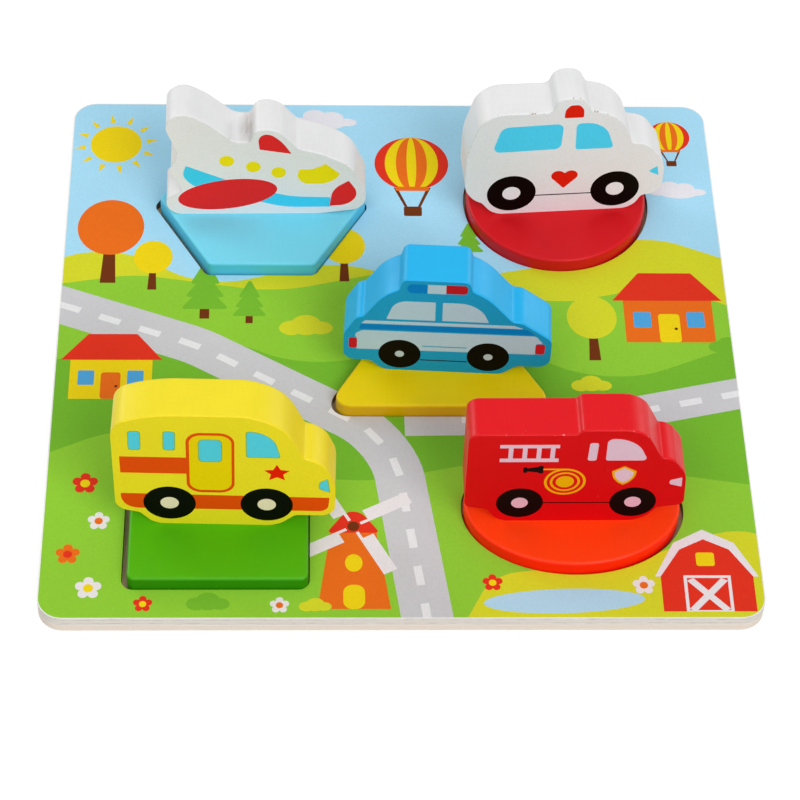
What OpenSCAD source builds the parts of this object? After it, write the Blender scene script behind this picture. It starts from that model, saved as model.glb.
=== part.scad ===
// Chunky shape and grasp puzzle. Five vehicles stand upright on five base blocks, and each block
// drops into its own recess in a square board of two glued plywood panels with a printed top.
// Millimetres. The origin is the centre of the board's underside, +Z is up and -Y is the front.

/* [Board] */
// Width and depth of the square board
board_w = 225; // [215:1:300]
// Radius of the board's four corners
board_r = 8; // [2:0.5:20]
// Thickness of each outer ply of a plywood panel
outer_ply_t = 0.7; // [0.4:0.1:1.2]
// Thickness of the core ply of a plywood panel
core_ply_t = 1.7; // [1:0.1:4]
// Thickness of the varnished print on top of the board
print_t = 0.1; // [0.05:0.05:0.3]
// Gap between a base block and the wall of its recess, all round
recess_gap = 1.15; // [0.7:0.05:2]

/* [Base blocks] */
// Thickness of every base block
base_t = 8.2; // [7:0.1:14]
// Rounding of the base blocks' top and bottom edges
base_soft = 1; // [0.3:0.1:1.6]
// Side of the square block
square_side = 56; // [50:1:64]
// Corner radius of the square block
square_r = 2.5; // [2:0.5:10]
// Side of the triangular block, measured to its sharp corners
triangle_side = 75; // [66:1:80]
// Corner radius of the triangular block
triangle_r = 5; // [2:0.5:10]
// Length of the oval block
oval_l = 68.4; // [60:0.2:76]
// Width of the oval block
oval_w = 49.2; // [40:0.2:56]
// Side of the hexagonal block
hexagon_side = 35.6; // [30:0.2:40]
// Corner radius of the hexagonal block
hexagon_r = 2; // [1.8:0.1:8]
// Diameter of the round block
round_d = 62; // [56:0.2:70]

/* [Vehicles] */
// Length of every vehicle
vehicle_l = 67.6; // [60:0.2:74]
// Thickness of the vehicles, but for the police car
vehicle_t = 15.6; // [13:0.1:20]
// Thickness of the police car
police_t = 16.5; // [13:0.1:20]
// Rounding of the vehicles' long edges
vehicle_soft = 1.1; // [0.3:0.1:1.1]
// Height of the bus
bus_h = 52.3; // [44:0.1:60]
// Height of the police car
police_h = 43.3; // [38:0.1:52]
// Height of the fire engine
fire_h = 44; // [38:0.1:52]
// Height of the airplane
plane_h = 46.6; // [38:0.2:54]
// Height of the ambulance
ambulance_h = 53; // [44:0.1:60]

/* [Dowels] */
// Diameter of the beech dowels
dowel_d = 8; // [5:0.5:9]
// Gap all round a dowel in its hole, filled with glue in the four pieces that don't turn
dowel_gap = 0.05; // [0.03:0.01:0.1]
// Depth of a dowel in a base block
dowel_in_base = 6; // [4:0.5:6.5]
// Depth of a dowel in a vehicle
dowel_in_vehicle = 14; // [8:0.5:16]
// Free space over the end of a dowel
dowel_space = 0.4; // [0.2:0.1:1]
// Distance between the two dowels of a vehicle
dowel_apart = 24; // [14:1:28]
// Chamfer on the ends of a dowel
dowel_chamfer = 0.8; // [0.3:0.1:1.5]

/* [Places] */
// Turn of the bus, in degrees
bus_turn = -1.4; // [-5:0.1:5]
// Turn of the police car, in degrees
police_turn = -3.1; // [-5:0.1:5]
// Turn of the fire engine, in degrees
fire_turn = 0.3; // [-5:0.1:5]
// Turn of the airplane, in degrees
plane_turn = 0.7; // [-5:0.1:5]
// Turn of the round block's ambulance at rest, in degrees
ambulance_turn = 4.1; // [-180:0.1:180]
// Distance that the bus stands behind the middle of its block
bus_back = 1; // [0:0.05:3]
// Distance that the police car stands behind the middle of its block
police_back = 1.2; // [0:0.05:3]
// Distance that the fire engine stands behind the middle of its block
fire_back = 0.3; // [0:0.05:3]
// Distance that the airplane stands behind the middle of its block
plane_back = 0.6; // [0:0.05:3]
// Distance that the ambulance stands behind the middle of its block
ambulance_back = 0.3; // [0:0.05:3]

/* [Hidden] */

// Heights of the glued layers
panel_t = 2 * outer_ply_t + core_ply_t;
board_top = 2 * panel_t;
base_top = panel_t + base_t;

// Longest turn of one straight step along an arc, in degrees, and steps across a rounded edge
arc_step = 6;
soft_steps = 2;
// Sides of a true round
round_fn = 96;
// How far a cut runs past the face that it opens
overrun = 1;

// Centres of the five recesses, as shares of the board's width
bus_at_share = [-0.257, -0.322];
police_at_share = [0.061, -0.042];
fire_at_share = [0.242, -0.312];
plane_at_share = [-0.202, 0.274];
ambulance_at_share = [0.252, 0.2847];

// How far each block has slid from the middle of its recess, as shares of the gap
bus_lie_share = [0.65, -0.65];
police_lie_share = [0.25, -0.7];
fire_lie_share = [-0.45, -0.65];
plane_lie_share = [0.45, -0.45];
ambulance_lie_share = [-0.25, -0.75];

// Vehicle's middle, sideways from the middle of its block, as a share of its length
bus_aside_share = 0.033;
police_aside_share = 0.03;
fire_aside_share = -0.009;
plane_aside_share = 0.018;
ambulance_aside_share = 0.014;

bus_at = board_w * bus_at_share;
police_at = board_w * police_at_share;
fire_at = board_w * fire_at_share;
plane_at = board_w * plane_at_share;
ambulance_at = board_w * ambulance_at_share;

// Where each vehicle stands: its share sideways and its distance back
bus_stand = [bus_aside_share, bus_back];
police_stand = [police_aside_share, police_back];
fire_stand = [fire_aside_share, fire_back];
plane_stand = [plane_aside_share, plane_back];
ambulance_stand = [ambulance_aside_share, ambulance_back];

// Vehicle outlines seen from the front, clockwise from the lower left. Each row is one corner:
// its place as a share of the length from the middle, its height as a share of the vehicle's
// height, and its radius as a share of the length.
bus_shares = [
    [-0.326, 0, 0.08], [-0.39, 0.104, 0.03], [-0.5, 0.14, 0.07], [-0.498, 0.905, 0.1],
    [-0.31, 1, 0.5], [0.194, 1, 0.26], [0.3, 0.832, 0.27], [0.364, 0.625, 0.025],
    [0.447, 0.598, 0.133], [0.505, 0.392, 0.18], [0.505, 0.104, 0.07], [0.322, 0.104, 0.035],
    [0.24, 0, 0.11]
];
police_shares = [
    [-0.3, 0, 0.075], [-0.365, 0.1, 0.04], [-0.496, 0.105, 0.06], [-0.496, 0.379, 0.09],
    [-0.434, 0.573, 0.045], [-0.401, 0.584, 0.02], [-0.315, 0.814, 0.2], [-0.237, 0.888, 0.02],
    [-0.22, 1, 0.034], [0.09, 1, 0.034], [0.108, 0.9, 0.02], [0.18, 0.837, 0.27],
    [0.307, 0.586, 0.03], [0.352, 0.58, 0.06], [0.501, 0.395, 0.06], [0.501, 0.105, 0.06],
    [0.34, 0.1, 0.045], [0.27, 0, 0.075]
];
fire_shares = [
    [-0.345, 0, 0.09], [-0.4, 0.14, 0.027], [-0.504, 0.167, 0.036], [-0.504, 0.953, 0.055],
    [-0.012, 0.953, 0.03], [0.012, 1, 0.03], [0.288, 1, 0.135], [0.378, 0.696, 0.018],
    [0.43, 0.688, 0.08], [0.5, 0.52, 0.12], [0.51, 0.187, 0.035], [0.385, 0.15, 0.03],
    [0.325, 0, 0.12]
];
plane_shares = [
    [-0.503, 0, 0.08], [-0.503, 0.146, 0.037], [-0.419, 0.24, 0.028], [-0.479, 0.448, 0.06],
    [-0.432, 0.607, 0.067], [-0.503, 0.92, 0.08], [-0.404, 1.024, 0.08], [-0.29, 0.92, 0.22],
    [-0.15, 0.723, 0.074], [-0.077, 0.725, 0.024], [-0.046, 0.843, 0.049], [0.055, 0.863, 0.104],
    [0.161, 0.661, 0.059], [0.281, 0.605, 0.22], [0.425, 0.487, 0.19], [0.505, 0.197, 0.09],
    [0.493, 0.049, 0.08], [0.275, 0, 0.44]
];
ambulance_shares = [
    [-0.35, 0, 0.09], [-0.413, 0.108, 0.03], [-0.503, 0.168, 0.14], [-0.502, 0.539, 0.4],
    [-0.428, 0.887, 0.14], [-0.09, 0.883, 0.037], [-0.062, 1, 0.065], [0.059, 1, 0.065],
    [0.102, 0.887, 0.027], [0.204, 0.854, 0.18], [0.284, 0.741, 0.18], [0.324, 0.588, 0.018],
    [0.408, 0.575, 0.12], [0.504, 0.388, 0.12], [0.504, 0.127, 0.074], [0.405, 0.117, 0.03],
    [0.358, 0, 0.09]
];

// Small tools for outlines. An edge is an anticlockwise list of [point, outward direction].
function unit(v) = v / norm(v);
function turned(v, a) = [v.x * cos(a) - v.y * sin(a), v.x * sin(a) + v.y * cos(a)];
function flipped(list) = [for (i = [len(list) - 1:-1:0]) list[i]];

// Points along the rounding of the corner at b, between its neighbours a and c
function corner_arc(a, b, c, r) =
    let(
        into = unit(b - a),
        away = unit(c - b),
        turn = atan2(into.x * away.y - into.y * away.x, into * away),
        side = sign(turn),
        out = [into.y, -into.x],
        centre = b - r * tan(abs(turn) / 2) * into - side * r * out,
        steps = max(1, ceil(abs(turn) / arc_step))
    )
    [for (i = [0:steps]) let(way = turned(out, turn * i / steps)) [centre + side * r * way, way]];

// Edge through a closed anticlockwise list of corners, each [x, y, radius]
function rounded_edge(corners) =
    let(n = len(corners), at = [for (c = corners) [c.x, c.y]])
    [for (i = [0:n - 1]) each corner_arc(at[(i + n - 1) % n], at[i], at[(i + 1) % n], corners[i].z)];

// Edge of a regular shape with rounded corners, from its corner distance and first angle
function regular_edge(sides, reach, r, first) =
    rounded_edge([
        for (i = [0:sides - 1])
            let(way = turned([1, 0], first + 360 * i / sides)) [reach * way.x, reach * way.y, r]
    ]);

// Edge of an ellipse
function oval_edge(l, w) =
    [for (a = [0:arc_step / 2:360 - arc_step / 2])
        [[l / 2 * cos(a), w / 2 * sin(a)], unit([cos(a) / l, sin(a) / w])]];

// Edge of a vehicle, from its table of shares
function vehicle_edge(shares, h) =
    rounded_edge(flipped([for (s = shares) [s.x * vehicle_l, s.y * h, s.z * vehicle_l]]));

// The points of an edge, moved outwards by d
function moved(edge, d) = [for (e = edge) e[0] + d * e[1]];

square_edge = regular_edge(4, square_side / sqrt(2), square_r, 45);
triangle_edge = regular_edge(3, triangle_side / sqrt(3), triangle_r, 90);
hexagon_edge = regular_edge(6, hexagon_side, hexagon_r, 0);
oval_base_edge = oval_edge(oval_l, oval_w);

// Quarter rounds of one slab edge: [height, inset] from the bottom face up
function soft_rings(t, soft) =
    let(low = [for (i = [0:soft_steps]) let(a = 90 * i / soft_steps) soft * [1 - cos(a), 1 - sin(a)]])
    concat(low, flipped([for (ring = low) [t - ring[0], ring[1]]]));

// Solid slab of an edge, from z = 0 to t, with both rims rounded
module soft_slab(edge, t, soft) {
    rings = soft_rings(t, soft);
    n = len(edge);
    last = len(rings) - 1;
    polyhedron(
        [for (ring = rings) each [for (p = moved(edge, -ring[1])) [p.x, p.y, ring[0]]]],
        [
            [for (i = [0:n - 1]) i],
            for (k = [0:last - 1], i = [0:n - 1])
                [k * n + i, (k + 1) * n + i, (k + 1) * n + (i + 1) % n, k * n + (i + 1) % n],
            [for (i = [n - 1:-1:0]) last * n + i]
        ]
    );
}

// Places. Every block, with what stands on it, lies in its recess as a share of the gap
module lying(at, lie_share) {
    translate([at.x + recess_gap * lie_share.x, at.y + recess_gap * lie_share.y, 0]) children();
}

module bus_place() lying(bus_at, bus_lie_share) children();
module police_place() lying(police_at, police_lie_share) children();
module fire_place() lying(fire_at, fire_lie_share) children();
module plane_place() lying(plane_at, plane_lie_share) children();
module ambulance_place() lying(ambulance_at, ambulance_lie_share) children();

// A vehicle's own place on its block, seen from above
module on_block(stand, turn) {
    translate([stand.x * vehicle_l, stand.y, 0]) rotate(turn) children();
}

// Board
module board_sheet(t) {
    inner = board_w - 2 * board_r;
    linear_extrude(t) {
        square([board_w, inner], center = true);
        square([inner, board_w], center = true);
        for (x = [-1, 1], y = [-1, 1])
            translate([x * inner / 2, y * inner / 2]) circle(board_r, $fn = round_fn);
    }
}

module recess_cuts(z, t) {
    translate([0, 0, z - overrun]) linear_extrude(t + 2 * overrun) {
        translate(bus_at) polygon(moved(square_edge, recess_gap));
        translate(police_at) polygon(moved(triangle_edge, recess_gap));
        translate(fire_at) polygon(moved(oval_base_edge, recess_gap));
        translate(plane_at) polygon(moved(hexagon_edge, recess_gap));
        translate(ambulance_at) circle(round_d / 2 + recess_gap, $fn = round_fn);
    }
}

// A layer of the top panel, with the five recesses cut through it
module top_layer(z, t) {
    difference() {
        translate([0, 0, z]) board_sheet(t);
        recess_cuts(z, t);
    }
}

module print_sheet() color("#cdd3c0") top_layer(board_top, print_t);
module top_face_ply() color("#d9cbb0") top_layer(board_top - outer_ply_t, outer_ply_t);
module top_core_ply() color("#c2ae8d") top_layer(panel_t + outer_ply_t, core_ply_t);
module top_back_ply() color("#d9cbb0") top_layer(panel_t, outer_ply_t);
module backing_face_ply() {
    color("#d9cbb0") translate([0, 0, panel_t - outer_ply_t]) board_sheet(outer_ply_t);
}
module backing_core_ply() color("#c2ae8d") translate([0, 0, outer_ply_t]) board_sheet(core_ply_t);
module backing_back_ply() color("#d9cbb0") board_sheet(outer_ply_t);

// Dowels. One stands in the middle of its hole, from the bottom of the hole in the block
module dowel() {
    r = dowel_d / 2;
    l = dowel_in_base + dowel_in_vehicle;
    translate([0, 0, base_top - dowel_in_base]) {
        cylinder(h = dowel_chamfer, r1 = r - dowel_chamfer, r2 = r, $fn = round_fn);
        translate([0, 0, dowel_chamfer])
            cylinder(h = l - 2 * dowel_chamfer, r = r, $fn = round_fn);
        translate([0, 0, l - dowel_chamfer])
            cylinder(h = dowel_chamfer, r1 = r, r2 = r - dowel_chamfer, $fn = round_fn);
    }
}

// Room for a dowel: its hole in the block and in the vehicle
module dowel_hole() {
    translate([0, 0, base_top - dowel_in_base])
        cylinder(
            h = dowel_in_base + dowel_in_vehicle + dowel_space,
            r = dowel_d / 2 + dowel_gap, $fn = round_fn
        );
}

// Where the dowels of a vehicle stand: side is -1 for the left one and 1 for the right one
module dowel_spot(stand, turn, side) {
    on_block(stand, turn) translate([side * dowel_apart / 2, 0, 0]) children();
}

module dowel_pair_holes(stand, turn) {
    for (side = [-1, 1]) dowel_spot(stand, turn, side) dowel_hole();
}

// A base block with straight edges or an oval one
module base_block(edge) {
    translate([0, 0, panel_t]) soft_slab(edge, base_t, base_soft);
}

module square_base() color("#4ba50f") bus_place() difference() {
    base_block(square_edge);
    dowel_pair_holes(bus_stand, bus_turn);
}

module triangle_base() color("#e0c400") police_place() difference() {
    base_block(triangle_edge);
    dowel_pair_holes(police_stand, police_turn);
}

module oval_base() color("#ff4a12") fire_place() difference() {
    base_block(oval_base_edge);
    dowel_pair_holes(fire_stand, fire_turn);
}

module hexagon_base() color("#73d2e6") plane_place() difference() {
    base_block(hexagon_edge);
    dowel_pair_holes(plane_stand, plane_turn);
}

// The round block is turned about its own axis, so that its rims are true rounds
module round_base() color("#cd141c") ambulance_place() difference() {
    translate([0, 0, panel_t]) rotate_extrude($fn = round_fn)
        polygon([
            [0, 0],
            for (ring = soft_rings(base_t, base_soft)) [round_d / 2 - ring[1], ring[0]],
            [0, base_t]
        ]);
    dowel_hole();
}

// A vehicle is sawn from thick board: its outline stands upright and its thickness runs along Y
module vehicle_body(shares, h, t = vehicle_t) {
    translate([0, t / 2, base_top]) rotate([90, 0, 0])
        soft_slab(vehicle_edge(shares, h), t, vehicle_soft);
}

module bus() color("#f4e02e") bus_place() difference() {
    on_block(bus_stand, bus_turn) vehicle_body(bus_shares, bus_h);
    dowel_pair_holes(bus_stand, bus_turn);
}

module police_car() color("#2fb1ec") police_place() difference() {
    on_block(police_stand, police_turn) vehicle_body(police_shares, police_h, police_t);
    dowel_pair_holes(police_stand, police_turn);
}

module fire_engine() color("#dc1f26") fire_place() difference() {
    on_block(fire_stand, fire_turn) vehicle_body(fire_shares, fire_h);
    dowel_pair_holes(fire_stand, fire_turn);
}

module airplane() color("#e6e6e4") plane_place() difference() {
    on_block(plane_stand, plane_turn) vehicle_body(plane_shares, plane_h);
    dowel_pair_holes(plane_stand, plane_turn);
}

module ambulance() color("#e8e8e8") ambulance_place() difference() {
    on_block(ambulance_stand, ambulance_turn) vehicle_body(ambulance_shares, ambulance_h);
    dowel_hole();
}

module bus_left_dowel() color("tan") bus_place() dowel_spot(bus_stand, bus_turn, -1) dowel();
module bus_right_dowel() color("tan") bus_place() dowel_spot(bus_stand, bus_turn, 1) dowel();
module police_left_dowel() {
    color("tan") police_place() dowel_spot(police_stand, police_turn, -1) dowel();
}
module police_right_dowel() {
    color("tan") police_place() dowel_spot(police_stand, police_turn, 1) dowel();
}
module fire_left_dowel() {
    color("tan") fire_place() dowel_spot(fire_stand, fire_turn, -1) dowel();
}
module fire_right_dowel() {
    color("tan") fire_place() dowel_spot(fire_stand, fire_turn, 1) dowel();
}
module plane_left_dowel() {
    color("tan") plane_place() dowel_spot(plane_stand, plane_turn, -1) dowel();
}
module plane_right_dowel() {
    color("tan") plane_place() dowel_spot(plane_stand, plane_turn, 1) dowel();
}
module ambulance_dowel() color("tan") ambulance_place() dowel();

print_sheet();
top_face_ply();
top_core_ply();
top_back_ply();
backing_face_ply();
backing_core_ply();
backing_back_ply();
square_base();
bus();
bus_left_dowel();
bus_right_dowel();
triangle_base();
police_car();
police_left_dowel();
police_right_dowel();
oval_base();
fire_engine();
fire_left_dowel();
fire_right_dowel();
hexagon_base();
airplane();
plane_left_dowel();
plane_right_dowel();
round_base();
ambulance();
ambulance_dowel();
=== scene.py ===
# %% [markdown]
# # A shape and grasp puzzle
# The real toy is a square plywood board with a printed top. Five base blocks lie in five recesses,
# and on each block stands a chunky wooden vehicle that a small child holds it by.
# The imported frame already has every piece at its real size and place. This file gives them their
# looks: smoother painted wood, ply edges, the printed vehicles and a printed landscape on the board.
# We take the printed sheet's box now, which gives the board's width.

# %% Load the frame
import math
import bmesh
import bpy
from mathutils import Matrix, Quaternion, Vector
from mathutils.geometry import delaunay_2d_cdt


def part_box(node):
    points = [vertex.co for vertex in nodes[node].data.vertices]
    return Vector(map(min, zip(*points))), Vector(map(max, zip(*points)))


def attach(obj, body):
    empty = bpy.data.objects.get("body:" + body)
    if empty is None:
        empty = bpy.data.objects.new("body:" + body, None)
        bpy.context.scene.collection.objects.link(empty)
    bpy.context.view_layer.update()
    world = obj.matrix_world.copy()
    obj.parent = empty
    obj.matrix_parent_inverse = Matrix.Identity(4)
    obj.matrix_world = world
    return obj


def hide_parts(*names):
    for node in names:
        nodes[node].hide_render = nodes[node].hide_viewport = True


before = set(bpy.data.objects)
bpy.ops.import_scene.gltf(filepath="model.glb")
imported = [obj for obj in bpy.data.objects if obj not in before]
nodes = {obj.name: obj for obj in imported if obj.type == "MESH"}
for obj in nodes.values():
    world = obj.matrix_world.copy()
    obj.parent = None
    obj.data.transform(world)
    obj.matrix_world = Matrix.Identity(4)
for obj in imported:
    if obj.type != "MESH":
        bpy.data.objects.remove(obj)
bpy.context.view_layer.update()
scene = bpy.context.scene
MM = 0.001
board_low, board_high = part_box("print_sheet")
board_w = (board_high.x - board_low.x) / MM
print("board", round(board_w, 2), "mm wide,", len(nodes), "pieces")

# %% [markdown]
# The camera stands where the photographer stood. Its lens, tilt and roll were solved from the board's
# straight edges, so the object lands in the picture where it should. A camera looks along its own -Z,
# so we turn it until +Z points back at the viewer, and then roll it a little.

# %% Camera
LENS_MM = 124.25
ELEVATION = math.radians(50.139)
AZIMUTH = math.radians(-3.054)
ROLL = math.radians(2.439)
CAMERA_DISTANCE_MM = 910.9
TARGET_MM = (1.05, -20.03, 0)


def make_camera():
    back = Vector((
        math.sin(AZIMUTH) * math.cos(ELEVATION),
        -math.cos(AZIMUTH) * math.cos(ELEVATION),
        math.sin(ELEVATION),
    ))
    camera = bpy.data.objects.new("camera", bpy.data.cameras.new("camera"))
    camera.data.lens = LENS_MM
    camera.location = (Vector(TARGET_MM) + back * CAMERA_DISTANCE_MM) * MM
    camera.rotation_mode = "QUATERNION"
    camera.rotation_quaternion = back.to_track_quat("Z", "Y") @ Quaternion((0, 0, 1), ROLL)
    scene.collection.objects.link(camera)
    scene.camera = camera


make_camera()
scene.view_settings.view_transform = "Standard"
print("camera", LENS_MM, "mm lens,", CAMERA_DISTANCE_MM, "mm from its target")

# %% [markdown]
# Every finish below is built from nodes. Colours are written as the sRGB hex values that a paint
# chart gives, and one function turns them into the linear light that the renderer counts in.

# %% Colour
def linear(code):
    """Linear colour of an sRGB hex value."""
    parts = [int(code[i:i + 2], 16) / 255 for i in (1, 3, 5)]
    return [p / 12.92 if p <= 0.04045 else ((p + 0.055) / 1.055) ** 2.4 for p in parts] + [1.0]


print("the middle grey #808080 is", round(linear("#808080")[0], 3), "in linear light")

# %% [markdown]
# One small function adds a node, sets its fields, and fills or links its sockets, so that a
# material reads as a list of what happens to its colour. Every material starts empty and reads
# Object coordinates, which are in metres and don't stretch with the piece.

# %% Nodes
def add(tree, kind, sockets, **fields):
    """Adds a shader node. A socket gets a value, or a link from another node's socket."""
    node = tree.nodes.new("ShaderNode" + kind)
    for name, value in fields.items():
        setattr(node, name, value)
    for key, value in sockets.items():
        if isinstance(value, bpy.types.NodeSocket):
            tree.links.new(value, node.inputs[key])
        else:
            node.inputs[key].default_value = value
    return node


def new_material(name):
    """An empty material, its node tree and the object's own coordinates, in metres."""
    material = bpy.data.materials.new(name)
    material.use_nodes = True
    tree = material.node_tree
    tree.nodes.clear()
    return material, tree, add(tree, "TexCoord", {}).outputs["Object"]


# %% [markdown]
# Real surfaces are uneven at several sizes at once. Noise gives that unevenness, with lumps of a
# size in millimetres. A tint is laid over the colour where a pattern is strong, and the surface is
# raised by patterns that lie on each other. The last function ends every material in one shader.

# %% Patterns and finish
def lumps(tree, where, size_mm, detail=2, roughness=0.5):
    """Unevenness between 0 and 1, whose lumps are size_mm along X, Y and Z."""
    scale = [1 / (size * MM) for size in size_mm]
    spread = add(tree, "Mapping", {"Vector": where, "Scale": scale}).outputs["Vector"]
    return add(tree, "TexNoise", {
        "Vector": spread, "Scale": 1.0, "Detail": detail, "Roughness": roughness
    }).outputs["Fac"]


def tinted(tree, colour, tint, pattern, span=(0, 1), share=1.0, how="MIX"):
    """Lays a tint over a colour. Over the span of the pattern it grows from nothing to its share."""
    amount = add(tree, "MapRange", {
        "Value": pattern, "From Min": span[0], "From Max": span[1], "To Min": 0.0, "To Max": share
    }).outputs["Result"]
    laid = add(tree, "Mix", {0: amount, 6: colour, 7: tint}, data_type="RGBA", blend_type=how)
    return laid.outputs[2]


def relief(tree, *layers):
    """Raises the surface by layers of (pattern, depth in mm, strength), each on the one before."""
    normal = None
    for pattern, depth_mm, strength in layers:
        sockets = {"Height": pattern, "Distance": depth_mm * MM, "Strength": strength}
        if normal:
            sockets["Normal"] = normal
        normal = add(tree, "Bump", sockets).outputs["Normal"]
    return normal


def finish_surface(material, tree, **sockets):
    """Ends a material in one Principled shader."""
    named = {name.replace("_", " ").title(): value for name, value in sockets.items()}
    named = {name.replace("Ior", "IOR"): value for name, value in named.items()}
    shader = add(tree, "BsdfPrincipled", named).outputs["BSDF"]
    add(tree, "OutputMaterial", {"Surface": shader})
    return material


# %% [markdown]
# Small children chew and drop these toys. The sharpest rims lose their paint first, so an
# attribute called rim, which we write on each piece, lets small chips show there and nowhere else.
# Fingers leave a grey smudge where they grip the airplane, behind its canopy.

# %% Wear of the paint
# The fire engine's pale chips are partly wear and partly a painted highlight on its rims.
FINGER_GREY, BARE_WOOD, PALE_CHIP_AND_GLINT = "#8c7b70", "#a58561", "#e8b4aa"
CHIP_MM = (1.6, 1.6, 0.96)
STREAK_MM = (1.6, 5, 3)


def chip_and_glint_share(tree, where, chips_and_glints):
    """Patches on the rims where the paint is off, partly a painted highlight on the fire engine.
    A larger amount lowers the noise's threshold.
    """
    rim = add(tree, "Attribute", {}, attribute_name="rim").outputs["Fac"]
    patches = add(tree, "MapRange", {
        "Value": lumps(tree, where, CHIP_MM, 4, 0.7), "From Min": 0.66 - chips_and_glints, "From Max": 0.70 - chips_and_glints
    }).outputs["Result"]
    return add(tree, "Math", {0: rim, 1: patches}, operation="MULTIPLY").outputs[0]


def smudge_share(tree, where, smudge):
    """A patch that fades out from its middle and is streaked by fingers."""
    place, reach = smudge
    shares = [1 / (r * MM) for r in reach]
    off = add(tree, "VectorMath", {0: where, 1: Vector(place) * MM}, operation="SUBTRACT").outputs[0]
    off = add(tree, "VectorMath", {0: off, 1: shares}, operation="MULTIPLY").outputs[0]
    away = add(tree, "VectorMath", {0: off}, operation="LENGTH").outputs["Value"]
    patch = add(tree, "MapRange", {"Value": away, "From Min": 1, "From Max": 0.1}).outputs["Result"]
    streaks = add(tree, "MapRange", {
        "Value": lumps(tree, where, STREAK_MM, 4, 0.7),
        "From Min": 0.3, "From Max": 0.75, "To Min": 0.25, "To Max": 0.8
    }).outputs["Result"]
    return add(tree, "Math", {0: patch, 1: streaks}, operation="MULTIPLY").outputs[0]


# %% [markdown]
# The wood is sawn beech or lime under two coats of satin water based paint. The paint hides the
# colour of the wood but not its grain: fine raised lines follow the length of the piece. The saw
# left fine marks across its sides, which break up the highlights on the rounded corners. A faint
# orange peel and slow mottling come from the roller. The sides of the blocks get a painted shade, a
# deeper colour that stands in for the shade falling on them. One function serves all ten paints,
# because only colour, wear and painted shade differ.

# %% Painted wood
GRAIN_MM = (9, 0.45, 0.45)
SAW_MARK_MM = (0.6, 9, 0.6)
PEEL_MM = 0.5
MOTTLE_MM = 14
NIB_MM = 1.1


def deeper(colour, share):
    """A linear colour that keeps only a share of its light."""
    return [part * share for part in colour[:3]] + [1]


def painted_wood(name, code, chips_and_glints=0.0, smudge=None, side_shade=0.0, chip_and_glint_colour=BARE_WOOD):
    """Satin paint on wood, given the share of the rims that is chipped, a worn spot in mm, and the share
    of painted shade that deepens the colour of the sides. The fire engine's pale chipped rims are
    partly a painted highlight."""
    material, tree, where = new_material(name)
    colour = linear(code)
    mottle = lumps(tree, where, (MOTTLE_MM,) * 3, 3, 0.6)
    grain = lumps(tree, where, GRAIN_MM, 3, 0.65)
    marks = lumps(tree, where, SAW_MARK_MM, 3, 0.6)
    nibs = lumps(tree, where, (NIB_MM,) * 3, 1)
    peel = lumps(tree, where, (PEEL_MM,) * 3, 1)
    paint = tinted(tree, colour, deeper(colour, 0.72), mottle, (0.3, 0.7), 0.12)
    paint = tinted(tree, paint, deeper(colour, 0.6), grain, (0.52, 0.75), 0.10)
    paint = tinted(tree, paint, deeper(colour, 0.6), marks, (0.45, 0.7), 0.06)
    paint = tinted(tree, paint, linear("#ffffff"), nibs, (0.82, 0.86), 0.2)
    # Painted shade: a block's sides are deepened towards the square of its colour, for the shade on them.
    if side_shade:
        side = add(tree, "Attribute", {}, attribute_name="side").outputs["Fac"]
        shaded_side = [part * part for part in colour[:3]] + [1]
        paint = tinted(tree, paint, shaded_side, side, share=side_shade)
    if smudge:
        paint = tinted(tree, paint, linear(FINGER_GREY), smudge_share(tree, where, smudge))
    # Chips on the rims; the fire engine's pale ones are partly a painted highlight.
    if chips_and_glints:
        paint = tinted(tree, paint, linear(chip_and_glint_colour), chip_and_glint_share(tree, where, chips_and_glints))
    gloss = add(tree, "MapRange", {
        "Value": mottle, "From Min": 0.3, "From Max": 0.7, "To Min": 0.34, "To Max": 0.44
    }).outputs["Result"]
    surface = relief(tree, (grain, 0.05, 0.5), (marks, 0.05, 0.5), (peel, 0.02, 0.35))
    return finish_surface(material, tree, base_color=paint, roughness=gloss, normal=surface, ior=1.47,
                          specular_ior_level=0.2)


print("grain lines", GRAIN_MM[1], "mm wide, saw marks", SAW_MARK_MM[0], "mm")

# %% [markdown]
# Two kinds of print. The vehicles' faces are screen printed: thin, dense, slightly matt ink.
# The board's picture is offset printed and varnished, so it is smoother and a little glossier.
# In both, each area of ink keeps its own colour in a colour attribute of the mesh, so one material
# serves all inks, as one varnish does on the real toy.

# %% Printed ink
SLOW_TINT, DOT_TINT, SPECK_TINT = "#6b6b5d", "#b4b4b4", "#f4f0e6"
SLOW_MM, DOT_MM, SPECK_MM = 38, 0.5, 0.9


def printed_ink(name, roughness, tooth_mm, tooth_depth_mm):
    """Ink whose colour is in the mesh. Its tooth is the fine relief that it dried with."""
    material, tree, where = new_material(name)
    ink = add(tree, "Attribute", {}, attribute_name="ink").outputs["Color"]
    slow = lumps(tree, where, (SLOW_MM,) * 3, 2)
    dots = lumps(tree, where, (DOT_MM,) * 3, 1)
    specks = lumps(tree, where, (SPECK_MM,) * 3, 1)
    tooth = lumps(tree, where, (tooth_mm,) * 3, 2)
    paint = tinted(tree, ink, linear(SLOW_TINT), slow, (0.3, 0.7), 0.06, "MULTIPLY")
    paint = tinted(tree, paint, linear(DOT_TINT), dots, (0.35, 0.7), 0.12, "MULTIPLY")
    paint = tinted(tree, paint, linear(SPECK_TINT), specks, (0.83, 0.86), 0.3)
    gloss = add(tree, "MapRange", {
        "Value": slow, "From Min": 0.3, "From Max": 0.7,
        "To Min": roughness - 0.04, "To Max": roughness + 0.05
    }).outputs["Result"]
    return finish_surface(material, tree, base_color=paint, roughness=gloss, ior=1.5, specular_ior_level=0.05,
                          normal=relief(tree, (tooth, tooth_depth_mm, 0.4)))


screen_ink = printed_ink("screen_printed_ink", 0.46, 0.6, 0.02)
board_ink = printed_ink("varnished_offset_print", 0.36, 1.2, 0.015)
print("inks:", screen_ink.name, "and", board_ink.name)
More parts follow.
